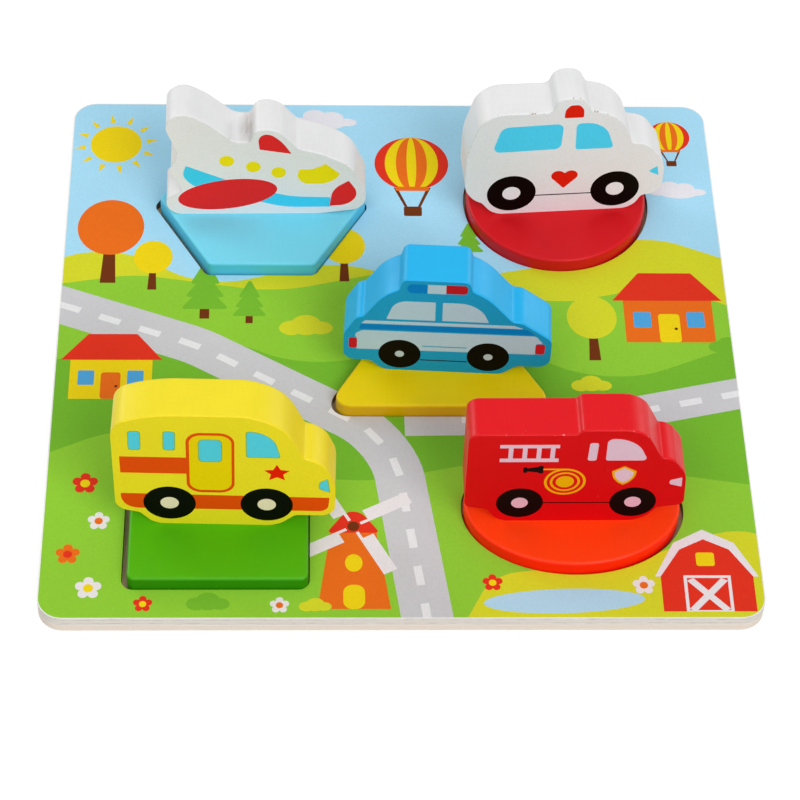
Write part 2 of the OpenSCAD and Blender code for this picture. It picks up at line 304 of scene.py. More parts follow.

# %% [markdown]
# Plywood has two faces to show. On its faces the veneer's long grain runs one way, and on its
# edges each ply shows either long grain or end grain, with a thin dark broken glue line between
# plies. We keep the frame's own layers and give each one a material that knows its own height, so
# the glue lines sit exactly where two layers meet. On the lower panel they hardly show. The
# recesses are cut with a laser, which leaves their walls brown, and that brown is made darker still
# as painted shade for the deep, narrow gaps round the blocks. Their floors are the bare, more
# yellow face of the lower panel.

# %% Glue lines and burnt edges
GLUE_LINE_MM = 0.16
GLUE_GAP_MM = (3.5, 3.5, 0.6)
WALL_BROWN_FROM_EDGE_MM = (4, 6)


def glue_share(tree, where, node):
    """1 in the glue lines at the top and bottom of a layer, where they aren't broken."""
    low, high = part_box(node)
    middle, half_depth = (low.z + high.z) / 2, (high.z - low.z) / 2
    height = add(tree, "SeparateXYZ", {"Vector": where}).outputs["Z"]
    off = add(tree, "Math", {0: height, 1: middle}, operation="SUBTRACT").outputs[0]
    off = add(tree, "Math", {0: off}, operation="ABSOLUTE").outputs[0]
    line = add(tree, "MapRange", {
        "Value": off, "From Min": half_depth - GLUE_LINE_MM * MM,
        "From Max": half_depth - GLUE_LINE_MM * MM * 0.4
    }).outputs["Result"]
    broken = add(tree, "MapRange", {
        "Value": lumps(tree, where, GLUE_GAP_MM, 3),
        "From Min": 0.42, "From Max": 0.62, "To Min": 0.25, "To Max": 0.75
    }).outputs["Result"]
    return add(tree, "Math", {0: line, 1: broken}, operation="MULTIPLY").outputs[0]


def away_from_edge(tree, where):
    """1 well inside the board, 0 on its outer edge and rounded corners."""
    parts = add(tree, "SeparateXYZ", {"Vector": where}).outputs
    sides = [add(tree, "Math", {0: parts[axis]}, operation="ABSOLUTE").outputs[0] for axis in "XY"]
    out = add(tree, "Math", {0: sides[0], 1: sides[1]}, operation="MAXIMUM").outputs[0]
    near, far = (board_w / 2 * MM - reach * MM for reach in WALL_BROWN_FROM_EDGE_MM)
    return add(tree, "MapRange", {"Value": out, "From Min": near, "From Max": far}).outputs["Result"]


# %% [markdown]
# One material per ply, from its light and dark wood up: then the glue lines, which only show on the
# edges, the tint of a bare face, and last the brown of the laser's cut, darkened by painted shade.

# %% Plywood
# The brown of the recess walls is laser burn, darkened further as painted shade for the deep gaps.
GLUE_BROWN, BURNT_AND_SHADED_BROWN, BARE_FACE = "#8d7f70", "#5e4730", "#e0d2b2"


def ply_material(node, light, dark, grain_mm, glued=True, face=None):
    """One ply of birch. face tints its flat face, which is more yellow than its edges."""
    material, tree, where = new_material(node + "_birch")
    grain = lumps(tree, where, grain_mm, 4, 0.65)
    wood = tinted(tree, linear(light), linear(dark), grain, (0.35, 0.7), 0.5)
    facing = add(tree, "NewGeometry", {}).outputs["Normal"]
    up = add(tree, "SeparateXYZ", {"Vector": facing}).outputs["Z"]
    up = add(tree, "Math", {0: up}, operation="ABSOLUTE").outputs[0]
    if glued:
        edge = add(tree, "MapRange", {"Value": up, "From Min": 0.5, "From Max": 0.1}).outputs["Result"]
        share = add(tree, "Math", {0: glue_share(tree, where, node), 1: edge}, operation="MULTIPLY")
        wood = tinted(tree, wood, linear(GLUE_BROWN), share.outputs[0])
    if face:
        wood = tinted(tree, wood, linear(face), up, (0.5, 0.9), 1.0, "MULTIPLY")
    # Painted shade: the walls inside the board's edge turn dark brown, partly burn and partly the gaps'
    # shade.
    if node.startswith("top"):
        wood = tinted(tree, wood, linear(BURNT_AND_SHADED_BROWN), away_from_edge(tree, where))
    return finish_surface(material, tree, base_color=wood, roughness=0.62,
                          normal=relief(tree, (grain, 0.06, 0.5)))


# %% [markdown]
# The dowels are turned from beech, a dense wood with short dark flecks along its grain. They stay
# the frame's own meshes, as do the plies: a node that already has its real shape only needs a
# material.

# %% Beech dowels and the dressing of the layers
LONG_GRAIN_MM = (14, 0.5, 0.5)
END_GRAIN_MM = (0.7, 14, 0.35)
FLECK_MM = (0.35, 0.35, 4)


def beech_material():
    """Turned beech, pale with darker flecks."""
    material, tree, where = new_material("turned_beech")
    flecks = lumps(tree, where, FLECK_MM, 3, 0.6)
    wood = tinted(tree, linear("#d9b48a"), linear("#b5875a"), flecks, (0.4, 0.65), 0.7)
    return finish_surface(material, tree, base_color=wood, roughness=0.55,
                          normal=relief(tree, (flecks, 0.05, 0.5)))


def dress(node, material):
    """Gives a frame node another material."""
    nodes[node].data.materials.clear()
    nodes[node].data.materials.append(material)


for node in ("top_face_ply", "top_back_ply"):
    dress(node, ply_material(node, "#ece8e2", "#c6c0b6", LONG_GRAIN_MM))
dress("top_core_ply", ply_material("top_core_ply", "#e6e1d8", "#bcb3a6", END_GRAIN_MM))
for node in ("backing_face_ply", "backing_back_ply"):
    dress(node, ply_material(node, "#efe4d8", "#d6c6b4", LONG_GRAIN_MM, glued=False, face=BARE_FACE))
dress("backing_core_ply", ply_material("backing_core_ply", "#ece0d3", "#d0c0ae", END_GRAIN_MM, glued=False))
beech = beech_material()
all_dowels = [node for node in nodes if node.endswith("dowel")]
for node in all_dowels:
    dress(node, beech)
print("dressed 6 plies and", len(all_dowels), "dowels")

# %% [markdown]
# Every flat shape on this toy is an outline with rounded corners: the sawn vehicles, the blocks,
# windows, roofs and hills. We make them all with one operator. A face is built from a few corner
# points, and each corner is then cut back with a vertex bevel, whose distance follows from the
# radius that we want. Typing long lists of points would give the same shape, but nobody could read
# or change it.

# %% Rounded outlines
ROUND_STEP = math.radians(9)


def rounded(corners, step=ROUND_STEP):
    """Points of a closed outline through corners, each (x, y) or (x, y, radius)."""
    places = [Vector(corner[:2]) for corner in corners]
    bm = bmesh.new()
    verts = [bm.verts.new((*place, 0)) for place in places]
    bm.faces.new(verts)
    for i, corner in enumerate(corners):
        radius = corner[2] if len(corner) > 2 else 0
        back = places[i - 1] - places[i]
        on = places[(i + 1) % len(places)] - places[i]
        inside = back.angle(on)
        turn = math.pi - inside
        if radius and turn > 0.001:
            bmesh.ops.bevel(
                bm, geom=[verts[i]], affect="VERTICES", offset=radius / math.tan(inside / 2),
                segments=max(2, math.ceil(turn / step)), profile=0.5, material=-1, clamp_overlap=False,
            )
    points = [vert.co.xy for vert in bm.faces[:][0].verts]
    bm.free()
    return points


sample = rounded([(0, 0, 1), (9, 0, 1), (9, 9, 1), (0, 9, 1)])
print("a square with rounded corners has", len(sample), "points")

# %% [markdown]
# Ellipses, windows and stars come from the same few tools. An ellipse is bmesh's own circle,
# stretched and turned. A pane is a rounded outline of four corners, and a star is a circle whose
# every second point is pulled in.

# %% Ovals, panes and stars
def oval(x, y, rx, ry=None, turn=0, count=40):
    """Points of an ellipse about (x, y), turned by some degrees."""
    bm = bmesh.new()
    bmesh.ops.create_circle(bm, cap_ends=True, radius=1, segments=count)
    place = Matrix.Translation((x, y, 0)) @ Matrix.Rotation(math.radians(turn), 4, "Z")
    bm.transform(place @ Matrix.Diagonal((rx, ry or rx, 1, 1)))
    points = [vert.co.xy for vert in bm.faces[:][0].verts]
    bm.free()
    return points


def pane(left, right, low, high, radius=0, lean=0):
    """Upright rectangle with rounded corners, whose top leans sideways by lean."""
    return rounded([
        (left, low, radius), (right, low, radius),
        (right + lean, high, radius), (left + lean, high, radius),
    ])


def star(x, y, tip, notch, points=5):
    """A star: a circle whose every second point is pulled in."""
    ring = oval(x, y, tip, count=2 * points)
    centre = Vector((x, y))
    return [centre + (p - centre) * (notch / tip if i % 2 else 1) for i, p in enumerate(ring)]


# %% [markdown]
# A print is many flat areas of ink that touch but don't lie on each other. A stack of thin
# plates would catch the light at each edge, so we lay all outlines over each other in one
# triangulation: it splits them at their crossings and says which outlines cover each piece.
# The last outline printed there wins and gives the piece its ink. The result is one closed sheet,
# as thin as a film of ink or paper, that we extrude with one operator.

# %% Printed sheets
INK_FILM_MM = 0.03
TIDY_MM = 0.0005


def anticlockwise(outline):
    """The outline, turned round if it runs clockwise."""
    spins = [a.x * b.y - a.y * b.x for a, b in zip(outline, outline[1:] + outline[:1])]
    return outline if sum(spins) > 0 else outline[::-1]


def thicken(bm, thickness):
    """Pulls flat faces up into a solid."""
    top = bmesh.ops.extrude_face_region(bm, geom=bm.faces[:])
    lifted = [part for part in top["geom"] if isinstance(part, bmesh.types.BMVert)]
    bmesh.ops.translate(bm, verts=lifted, vec=(0, 0, thickness))


def ink_sheet(shapes, thickness, trimmed=False):
    """One closed film of (ink, outline) shapes, printed in order. An ink of None cuts a hole.
    When trimmed, the first shape is the paper and the second one is the picture's edge on it."""
    points, faces = [], []
    for _, outline in shapes:
        faces.append(list(range(len(points), len(points) + len(outline))))
        points.extend(anticlockwise([Vector(p) for p in outline]))
    coords, _, areas, _, _, owners = delaunay_2d_cdt(points, [], faces, 4, TIDY_MM)
    holes = {i for i, (ink, _) in enumerate(shapes) if ink is None}
    bm = bmesh.new()
    colour = bm.loops.layers.float_color.new("ink")
    verts = [bm.verts.new((*co, 0)) for co in coords]
    for area, owner in zip(areas, owners):
        if not owner or holes & set(owner) or (trimmed and 0 not in owner):
            continue
        ink = 0 if trimmed and 1 not in owner else max(owner)
        face = bm.faces.new([verts[i] for i in area])
        for loop in face.loops:
            loop[colour] = linear(shapes[ink][0])
    bmesh.ops.delete(bm, geom=[v for v in bm.verts if not v.link_faces], context="VERTS")
    thicken(bm, thickness)
    bmesh.ops.recalc_face_normals(bm, faces=bm.faces)
    return bm


# %% [markdown]
# Every wooden piece is a thick board, sawn to an outline and sanded at its rims. So one function
# makes them all: it thickens the outline and rounds the rims of both faces with a bevel.

# %% Sawn and sanded boards
LEVEL_MM = 1e-6


def slab(outline, thickness, soft, steps=4):
    """A solid of an outline from z = 0 to thickness, with both rims rounded."""
    bm = bmesh.new()
    bm.faces.new([bm.verts.new((*p, 0)) for p in outline])
    thicken(bm, thickness)
    rims = [e for e in bm.edges if abs(e.verts[0].co.z - e.verts[1].co.z) < LEVEL_MM]
    bmesh.ops.bevel(bm, geom=rims, affect="EDGES", offset=soft, segments=steps, profile=0.5,
                    material=-1, clamp_overlap=False)
    bmesh.ops.recalc_face_normals(bm, faces=bm.faces)
    return bm


# %% [markdown]
# A finished piece is put in place through its mesh, so its object stays at the origin, unturned,
# like the frame's own nodes. Modifiers are turned into the mesh at once, so that the mesh itself
# holds what the script makes.

# %% Objects
def object_of(name, bm, place, material):
    """An object at the origin that holds bm, scaled from millimetres and set in its place."""
    bm.transform(place @ Matrix.Scale(MM, 4))
    mesh = bpy.data.meshes.new(name)
    bm.to_mesh(mesh)
    bm.free()
    piece = bpy.data.objects.new(name, mesh)
    scene.collection.objects.link(piece)
    mesh.materials.append(material)
    return piece


def take_mesh(piece):
    """Turns a piece's modifiers into its mesh."""
    shown = piece.evaluated_get(bpy.context.evaluated_depsgraph_get())
    old = piece.data
    name = old.name
    piece.data = bpy.data.meshes.new_from_object(shown)
    piece.modifiers.clear()
    bpy.data.meshes.remove(old)
    piece.data.name = name


# %% [markdown]
# Holes for the dowels are cut where the frame's dowels stand. A hole is wider than its dowel by
# the little gap that the glue fills, and deeper at the top, where a real drill leaves room for
# trapped glue. An exact Boolean keeps the sawn body closed.

# %% Dowel holes
DOWEL_GAP_MM = 0.05
DOWEL_SPACE_MM = 0.4
HOLE_SIDES = 48


def drill(piece, dowels):
    """Cuts a hole for each of the frame's dowels."""
    bm = bmesh.new()
    for dowel in dowels:
        low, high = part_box(dowel)
        radius = (high.x - low.x) / 2 + DOWEL_GAP_MM * MM
        bottom, top = low.z - DOWEL_GAP_MM * MM, high.z + DOWEL_SPACE_MM * MM
        centre = Vector(((low.x + high.x) / 2, (low.y + high.y) / 2, (bottom + top) / 2))
        bmesh.ops.create_cone(bm, cap_ends=True, segments=HOLE_SIDES, radius1=radius, radius2=radius,
                              depth=top - bottom, matrix=Matrix.Translation(centre))
    cutter = object_of("dowel_holes", bm, Matrix.Scale(1 / MM, 4), beech)
    cut = piece.modifiers.new("dowel_holes", "BOOLEAN")
    cut.object = cutter
    cut.operation = "DIFFERENCE"
    cut.solver = "EXACT"
    take_mesh(piece)
    bpy.data.objects.remove(cutter)


# %% [markdown]
# Weighted normals keep the big flat faces flat while the narrow rims shade round. The two
# attributes that the paint reads are written here too, from each vertex's depth in the wood.

# %% Shading and rims
SHARP_ANGLE = math.radians(40)
RIM_EDGE_MM = 0.02


def shade(piece):
    """Smooth rims beside flat faces."""
    piece.data.shade_smooth()
    piece.data.set_sharp_from_angle(angle=SHARP_ANGLE)
    weigh = piece.modifiers.new("flat_faces", "WEIGHTED_NORMAL")
    weigh.keep_sharp = True
    take_mesh(piece)


def mark_rims(piece, place, thickness, soft):
    """Writes two attributes: rim is 1 on the roundings between side and faces and 0 elsewhere, and
    side rises from 0 on the faces to 1 on the cut side, where the paint lays its painted shade."""
    back = place.inverted()
    depths = [(back @ vert.co).z / MM for vert in piece.data.vertices]
    inside = [min(depth, thickness - depth) for depth in depths]
    on_rim = [RIM_EDGE_MM < depth < soft - RIM_EDGE_MM for depth in inside]
    rim = piece.data.attributes.new("rim", "FLOAT", "POINT")
    rim.data.foreach_set("value", [float(worn) for worn in on_rim])
    side = piece.data.attributes.new("side", "FLOAT", "POINT")
    side.data.foreach_set("value", [min(1.0, max(0.0, depth / soft)) for depth in inside])


def declare(piece, body, node=None):
    """Hangs a piece on the empty of the body that carries it, and hides the frame's node that it stands for.
    """
    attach(piece, body)
    if node:
        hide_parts(node)


# %% [markdown]
# The base blocks are sawn from thick board and sanded round at the rims. Each is one outline and
# one slab. Their places come from the frame. A box tells where the middle of a square, hexagon,
# oval or circle is, but the middle of a triangle lies lower than that of its box, so its place
# is worked out from its back edge.

# %% Block outlines
BASE_SOFT_MM = 1.0
SQUARE_MM, SQUARE_R_MM = 56, 2.5
TRIANGLE_MM, TRIANGLE_R_MM = 75, 5
HEXAGON_MM, HEXAGON_R_MM = 35.6, 2
OVAL_MM = (68.4, 49.2)
ROUND_MM = 62
BASE_STEP = math.radians(6)
ROUND_POINTS = 96


def regular(sides, reach, radius, first):
    """A regular outline from its corner distance and the direction of its first corner."""
    angles = [math.radians(first + 360 * i / sides) for i in range(sides)]
    return rounded([(reach * math.cos(a), reach * math.sin(a), radius) for a in angles], BASE_STEP)


def block_outlines(gap=0.0):
    """The five outlines, about their own middles. A gap moves each side out, as its recess has it."""
    return {
        "square": regular(4, SQUARE_MM / math.sqrt(2) + gap * math.sqrt(2), SQUARE_R_MM + gap, 45),
        "triangle": regular(3, TRIANGLE_MM / math.sqrt(3) + 2 * gap, TRIANGLE_R_MM + gap, 90),
        "oval": oval(0, 0, OVAL_MM[0] / 2 + gap, OVAL_MM[1] / 2 + gap, count=ROUND_POINTS),
        "hexagon": regular(6, HEXAGON_MM + gap * 2 / math.sqrt(3), HEXAGON_R_MM + gap, 0),
        "round": oval(0, 0, ROUND_MM / 2 + gap, count=ROUND_POINTS),
    }


for shape, outline in block_outlines().items():
    print(shape, "block outline:", len(outline), "points")


# %% [markdown]
# One function makes every block: it saws the outline, drills it for its dowels, sets the shading
# and hides the frame's node that it stands for.

# %% Base blocks
BUS_DOWELS = ("bus_left_dowel", "bus_right_dowel")
POLICE_DOWELS = ("police_left_dowel", "police_right_dowel")
FIRE_DOWELS = ("fire_left_dowel", "fire_right_dowel")
PLANE_DOWELS = ("plane_left_dowel", "plane_right_dowel")
AMBULANCE_DOWELS = ("ambulance_dowel",)
TRIANGLE_BELOW_MM = (TRIANGLE_MM / math.sqrt(3) / 2 - TRIANGLE_R_MM) / 2


def base_block(shape, body, dowels, material, below=0):
    """Replaces a base block. below is how far its middle lies in front of its box's middle."""
    node = shape + "_base"
    low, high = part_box(node)
    middle = (low + high) / 2
    place = Matrix.Translation((middle.x, middle.y - below * MM, low.z))
    thickness = (high.z - low.z) / MM
    bm = slab(block_outlines()[shape], thickness, BASE_SOFT_MM)
    piece = object_of(node + "_block", bm, place, material)
    drill(piece, dowels)
    shade(piece)
    mark_rims(piece, place, thickness, BASE_SOFT_MM)
    declare(piece, body, node)
    print(node, "block", len(piece.data.polygons), "faces")


# The last share given to each block's paint is painted shade that deepens its sides.
base_block("square", "bus_piece", BUS_DOWELS,
           painted_wood("green_paint_on_wood", "#4fae08", side_shade=0.75))
base_block("triangle", "police_piece", POLICE_DOWELS,
           painted_wood("yellow_paint_on_wood", "#ecd004", side_shade=0.9), TRIANGLE_BELOW_MM)
base_block("oval", "fire_piece", FIRE_DOWELS,
           painted_wood("orange_paint_on_wood", "#ff3f0b", side_shade=0.95))
base_block("hexagon", "plane_piece", PLANE_DOWELS,
           painted_wood("light_blue_paint_on_wood", "#76d6ee", side_shade=0.65))
base_block("round", "round_piece", AMBULANCE_DOWELS,
           painted_wood("red_paint_on_wood", "#d4121c", side_shade=0.3))


# %% [markdown]
# Each vehicle is one outline, sawn from 16 mm board with a fine blade, sanded, painted and
# printed. The outline's corners are given as shares of the length and of the height, with the
# radius as a share of the length, so the shape follows the frame's own box.

# %% Vehicle outlines
VEHICLE_L_MM = 67.6
VEHICLE_T_MM, POLICE_T_MM = 15.6, 16.5
VEHICLE_SOFT_MM = 1.1
VEHICLE_STEP = math.radians(5)
TURNS = {"bus": -1.4, "police_car": -3.1, "fire_engine": 0.3, "airplane": 0.7, "ambulance": 4.1}

OUTLINE_SHARES = {
    "bus": [
        (-0.326, 0, 0.08), (-0.39, 0.104, 0.03), (-0.5, 0.14, 0.07), (-0.498, 0.905, 0.1),
        (-0.31, 1, 0.5), (0.194, 1, 0.26), (0.3, 0.832, 0.27), (0.364, 0.625, 0.025),
        (0.447, 0.598, 0.133), (0.505, 0.392, 0.18), (0.505, 0.104, 0.07), (0.322, 0.104, 0.035),
        (0.24, 0, 0.11),
    ],
    "police_car": [
        (-0.3, 0, 0.075), (-0.365, 0.1, 0.04), (-0.496, 0.105, 0.06), (-0.496, 0.379, 0.09),
        (-0.434, 0.573, 0.045), (-0.401, 0.584, 0.02), (-0.315, 0.814, 0.2), (-0.237, 0.888, 0.02),
        (-0.22, 1, 0.034), (0.09, 1, 0.034), (0.108, 0.9, 0.02), (0.18, 0.837, 0.27),
        (0.307, 0.586, 0.03), (0.352, 0.58, 0.06), (0.501, 0.395, 0.06), (0.501, 0.105, 0.06),
        (0.34, 0.1, 0.045), (0.27, 0, 0.075),
    ],
    "fire_engine": [
        (-0.345, 0, 0.09), (-0.4, 0.14, 0.027), (-0.504, 0.167, 0.036), (-0.504, 0.953, 0.055),
        (-0.012, 0.953, 0.03), (0.012, 1, 0.03), (0.288, 1, 0.135), (0.378, 0.696, 0.018),
        (0.43, 0.688, 0.08), (0.5, 0.52, 0.12), (0.51, 0.187, 0.035), (0.385, 0.15, 0.03),
        (0.325, 0, 0.12),
    ],
    "airplane": [
        (-0.503, 0, 0.08), (-0.503, 0.146, 0.037), (-0.419, 0.24, 0.028), (-0.479, 0.448, 0.06),
        (-0.432, 0.607, 0.067), (-0.503, 0.92, 0.08), (-0.404, 1.024, 0.08), (-0.29, 0.92, 0.22),
        (-0.15, 0.723, 0.074), (-0.077, 0.725, 0.024), (-0.046, 0.843, 0.049), (0.055, 0.863, 0.104),
        (0.161, 0.661, 0.059), (0.281, 0.605, 0.22), (0.425, 0.487, 0.19), (0.505, 0.197, 0.09),
        (0.493, 0.049, 0.08), (0.275, 0, 0.44),
    ],
    "ambulance": [
        (-0.35, 0, 0.09), (-0.413, 0.108, 0.03), (-0.503, 0.168, 0.14), (-0.502, 0.539, 0.4),
        (-0.428, 0.887, 0.14), (-0.09, 0.883, 0.037), (-0.062, 1, 0.065), (0.059, 1, 0.065),
        (0.102, 0.887, 0.027), (0.204, 0.854, 0.18), (0.284, 0.741, 0.18), (0.324, 0.588, 0.018),
        (0.408, 0.575, 0.12), (0.504, 0.388, 0.12), (0.504, 0.127, 0.074), (0.405, 0.117, 0.03),
        (0.358, 0, 0.09),
    ],
}


for node, shares in OUTLINE_SHARES.items():
    print(node, "outline:", len(shares), "corners")


# %% [markdown]
# The outline is drawn flat, stood upright and turned by the few degrees at which the vehicle was
# glued on. Body and print share this one place, so the print always lies on the face.

# %% Standing a vehicle up
def vehicle_outline(node):
    """The outline in millimetres, from the middle of the vehicle's foot."""
    low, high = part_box(node)
    height = (high.z - low.z) / MM
    shares = [(x * VEHICLE_L_MM, z * height, r * VEHICLE_L_MM) for x, z, r in OUTLINE_SHARES[node]]
    return rounded(shares, VEHICLE_STEP)


def standing(node):
    """The place of a vehicle's drawing: x along it, y up, and z out of its printed face."""
    low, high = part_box(node)
    middle = (low + high) / 2
    across = [point.x for point in vehicle_outline(node)]
    aside = Matrix.Translation((-(min(across) + max(across)) / 2 * MM, 0, 0))
    turn = Matrix.Rotation(math.radians(TURNS[node]), 4, "Z")
    upright = Matrix.Rotation(math.radians(90), 4, "X")
    return Matrix.Translation((middle.x, middle.y, low.z)) @ turn @ aside @ upright


def thickness_of(node):
    """The police car is cut from slightly thicker board than the others."""
    return POLICE_T_MM if node == "police_car" else VEHICLE_T_MM


# %% [markdown]
# A vehicle is made like a base block, but standing. Its print is a film of ink on the front face,
# which is a piece of its own with its own finish.

# %% Bodies and prints
def vehicle(node, body, dowels, material):
    """A wooden body that replaces the frame's plainer one."""
    thickness = thickness_of(node)
    place = standing(node) @ Matrix.Translation((0, 0, -thickness * MM / 2))
    bm = slab(vehicle_outline(node), thickness, VEHICLE_SOFT_MM)
    piece = object_of(node + "_body", bm, place, material)
    drill(piece, dowels)
    shade(piece)
    mark_rims(piece, place, thickness, VEHICLE_SOFT_MM)
    declare(piece, body, node)
    print(node, "body", len(piece.data.polygons), "faces")


def face_print(node, body, shapes):
    """Screen prints shapes, in millimetres from the middle of the vehicle's foot, on its front."""
    place = standing(node) @ Matrix.Translation((0, 0, thickness_of(node) * MM / 2))
    piece = object_of(node + "_print", ink_sheet(shapes, INK_FILM_MM), place, screen_ink)
    declare(piece, body)
    print(node, "print", len(piece.data.polygons), "faces")


# %% [markdown]
# The five bodies. Chips show on the rims of three of them: a few on the fire engine, more on the
# airplane and most on the ambulance. The fire engine's pale chips are partly a painted highlight
# along its rims. The airplane's worn spot lies in the valley of its outline.

# %% Vehicle bodies
VALLEY_MM = (-5.6, 34.5, 0)
SMUDGE_REACH_MM = (4, 10, 6.5)
plane_valley = standing("airplane") @ (Vector(VALLEY_MM) * MM)
worn_spot = (plane_valley / MM, SMUDGE_REACH_MM)

vehicle("bus", "bus_piece", BUS_DOWELS, painted_wood("bus_yellow_paint_on_wood", "#f3df2a"))
vehicle("police_car", "police_piece", POLICE_DOWELS, painted_wood("sky_blue_paint_on_wood", "#23b3ec"))
# The fire engine's pale chips are partly a painted highlight along its rims.
vehicle("fire_engine", "fire_piece", FIRE_DOWELS,
        painted_wood("signal_red_paint_on_wood", "#e0101a", 0.012, chip_and_glint_colour=PALE_CHIP_AND_GLINT))
vehicle("airplane", "plane_piece", PLANE_DOWELS,
        painted_wood("worn_white_paint_on_wood", "#e6e6e6", 0.03, worn_spot))
vehicle("ambulance", "round_grip", AMBULANCE_DOWELS,
        painted_wood("chipped_white_paint_on_wood", "#e8e8e8", 0.06))


# %% [markdown]
# The vehicles' prints are drawn in millimetres from the middle of the vehicle's foot. A full coat
# goes on each face first, a little duller than the painted sides, and on the police car another
# blue. It is the body's own outline, drawn in by the rounding of the rim. A wheel is a black disc
# with a pale hub, and the bands stay plain.

# %% Print helpers
BLACK = "#060403"


def coat(node, ink):
    """The full coat of a face, moved inwards from the outline with bmesh's own inset."""
    bm = bmesh.new()
    face = bm.faces.new([bm.verts.new((*p, 0)) for p in vehicle_outline(node)])
    bmesh.ops.inset_region(bm, faces=[face], thickness=VEHICLE_SOFT_MM, use_even_offset=True)
    points = [vert.co.xy for vert in face.verts]
    bm.free()
    return (ink, points)


def wheel(x, y, radius, hub_radius, hub):
    """A black disc with a hub."""
    return [(BLACK, oval(x, y, radius, count=56)), (hub, oval(x, y, hub_radius))]


def swollen(outline, by):
    """The outline, larger by a margin on every side, or smaller where it is negative."""
    low, high = (Vector([reach(p[i] for p in outline) for i in range(2)]) for reach in (min, max))
    grow = Matrix.Diagonal([1 + 2 * by / (high - low)[i] for i in range(2)])
    centre = (low + high) / 2
    return [centre + grow @ (p - centre) for p in outline]


def line(ink, x0, x1, y, thickness):
    """A level line."""
    return (ink, pane(x0, x1, y - thickness / 2, y + thickness / 2))


def inked(ink, outlines):
    """Several outlines in one ink."""
    return [(ink, outline) for outline in outlines]


print("a wheel is", len(wheel(0, 0, 8, 3, "#ffffff")), "areas of ink")

# %% [markdown]
# The bus has a red band and stripe, a framed door, windows and a star. Blue ink over the edge of the
# yellow prints green, so each window is printed twice: green at its full size, then blue inside it.

# %% Bus print
BUS_OVERLAP, OVERLAP_MM = "#80b030", 0.28
BUS_WINDOW, BUS_RED, BUS_DOOR, BUS_HUB = "#54d0e0", "#e44e06", "#ecd204", "#eadebb"


def bus_print():
    door = [(BUS_RED, pane(-11.5, 3.2, 16, 44.9, 4.6, 0.4)),
            (BUS_DOOR, pane(-10.5, 2.3, 17.2, 43.7, 3.7, 0.4))]
    windows = [pane(-7.6, -0.3, 30.9, 41.8, 1.7, 0.2), pane(-28.7, -24.8, 36.1, 45.2, 1.1, 0.2),
               pane(-18.2, -14.4, 36.2, 45.3, 1.1, 0.3),
               rounded([(7, 33.5, 0.8), (17.6, 33.4, 1), (15, 46.1, 8.3), (7, 45.9, 1.1)])]
    stripe = rounded([(-31.9, 14.9, 0.2), (-31.9, 11, 6), (-29, 7.6, 5), (31.9, 7.6, 3), (32.4, 14.4, 0.2)])
    light = rounded([(29.3, 22.2, 1.6), (28.9, 18.6, 1.6), (32.6, 17, 0.2), (31.9, 23.8, 0.2)])
    glass = windows + [light]
    return ([coat("bus", "#efde24"), (BUS_RED, pane(-31.5, -10, 25, 32.9)), (BUS_RED, stripe)] + door
            + inked(BUS_OVERLAP, glass)
            + inked(BUS_WINDOW, [swollen(window, -OVERLAP_MM) for window in glass])
            + [("#e61c00", star(16.3, 26.1, 4.15, 2))]
            + wheel(-17, 10.4, 8.1, 2.85, BUS_HUB) + wheel(13, 10.4, 8.1, 2.85, BUS_HUB))


face_print("bus", "bus_piece", bus_print())

# %% [markdown]
# The police car has a light bar on its roof, two windows, and a dark band over a pale one.

# %% Police car print
POLICE_BLUE, POLICE_PALE, POLICE_HUB = "#007fca", "#b0cede", "#b4cad2"


def police_print():
    bar = [(POLICE_BLUE, pane(-13.6, -6, 37.6, 41.8, 2)), ("#b81822", pane(-2.5, 5.7, 37.9, 41.9, 1.3)),
           (POLICE_PALE, pane(-7.1, -1.2, 37.7, 41.8))]
    left = rounded([(-19.9, 24.8, 0.3), (-4.2, 24.8, 0.2), (-4.3, 33.6, 0.2), (-17.2, 33.6, 5)])
    right = rounded([(-1.9, 24.9, 0.2), (13.1, 24.9, 0.3), (9.6, 33.6, 9), (-2, 33.6, 0.2)])
    thin = rounded([(-27.9, 22.2, 0.2), (24.6, 22.6, 0.2), (21.2, 24, 0.7), (-26.6, 23.7, 0.7)])
    band = rounded([(-28.6, 19.5, 0.2), (28.3, 19.8, 0.2), (25.5, 22.4, 0.6), (-28, 21.9, 0.3)])
    body = rounded([(-29.2, 9.7), (28.8, 10.4), (28.9, 15.6), (31, 16, 0.3), (28.6, 19.3, 1.6),
                    (-27.6, 18.9, 2.4), (-30.2, 16.8, 1.6), (-29.2, 15)])
    lights = [pane(-31.8, -29.1, 10, 15.1, 0.9), pane(28.7, 31.8, 10.6, 15.5, 0.9)]
    return ([coat("police_car", "#1c9ccc")] + bar
            + inked(POLICE_PALE, [left, right]) + inked(POLICE_BLUE, [band])
            + inked(POLICE_PALE, [thin, body])
            + [line("#46a0c8", -8, 6.5, 12.2, 0.5), line("#1e2d32", -8.6, 7, 5.4, 0.5)]
            + inked("#c31c26", lights)
            + wheel(-15.2, 7.95, 6.9, 1.5, POLICE_HUB) + wheel(13.6, 8.1, 6.9, 1.5, POLICE_HUB))


face_print("police_car", "police_piece", police_print())

# %% [markdown]
# The fire engine has a ladder, a coiled hose with its nozzle, two windows and a badge. The coil is a
# stack of discs in two inks, each smaller than the one before.

# %% Fire engine print
FIRE_PALE, FIRE_YELLOW, FIRE_RED, FIRE_HUB = "#dfbecd", "#e8ae02", "#dc1414", "#e2b2c4"


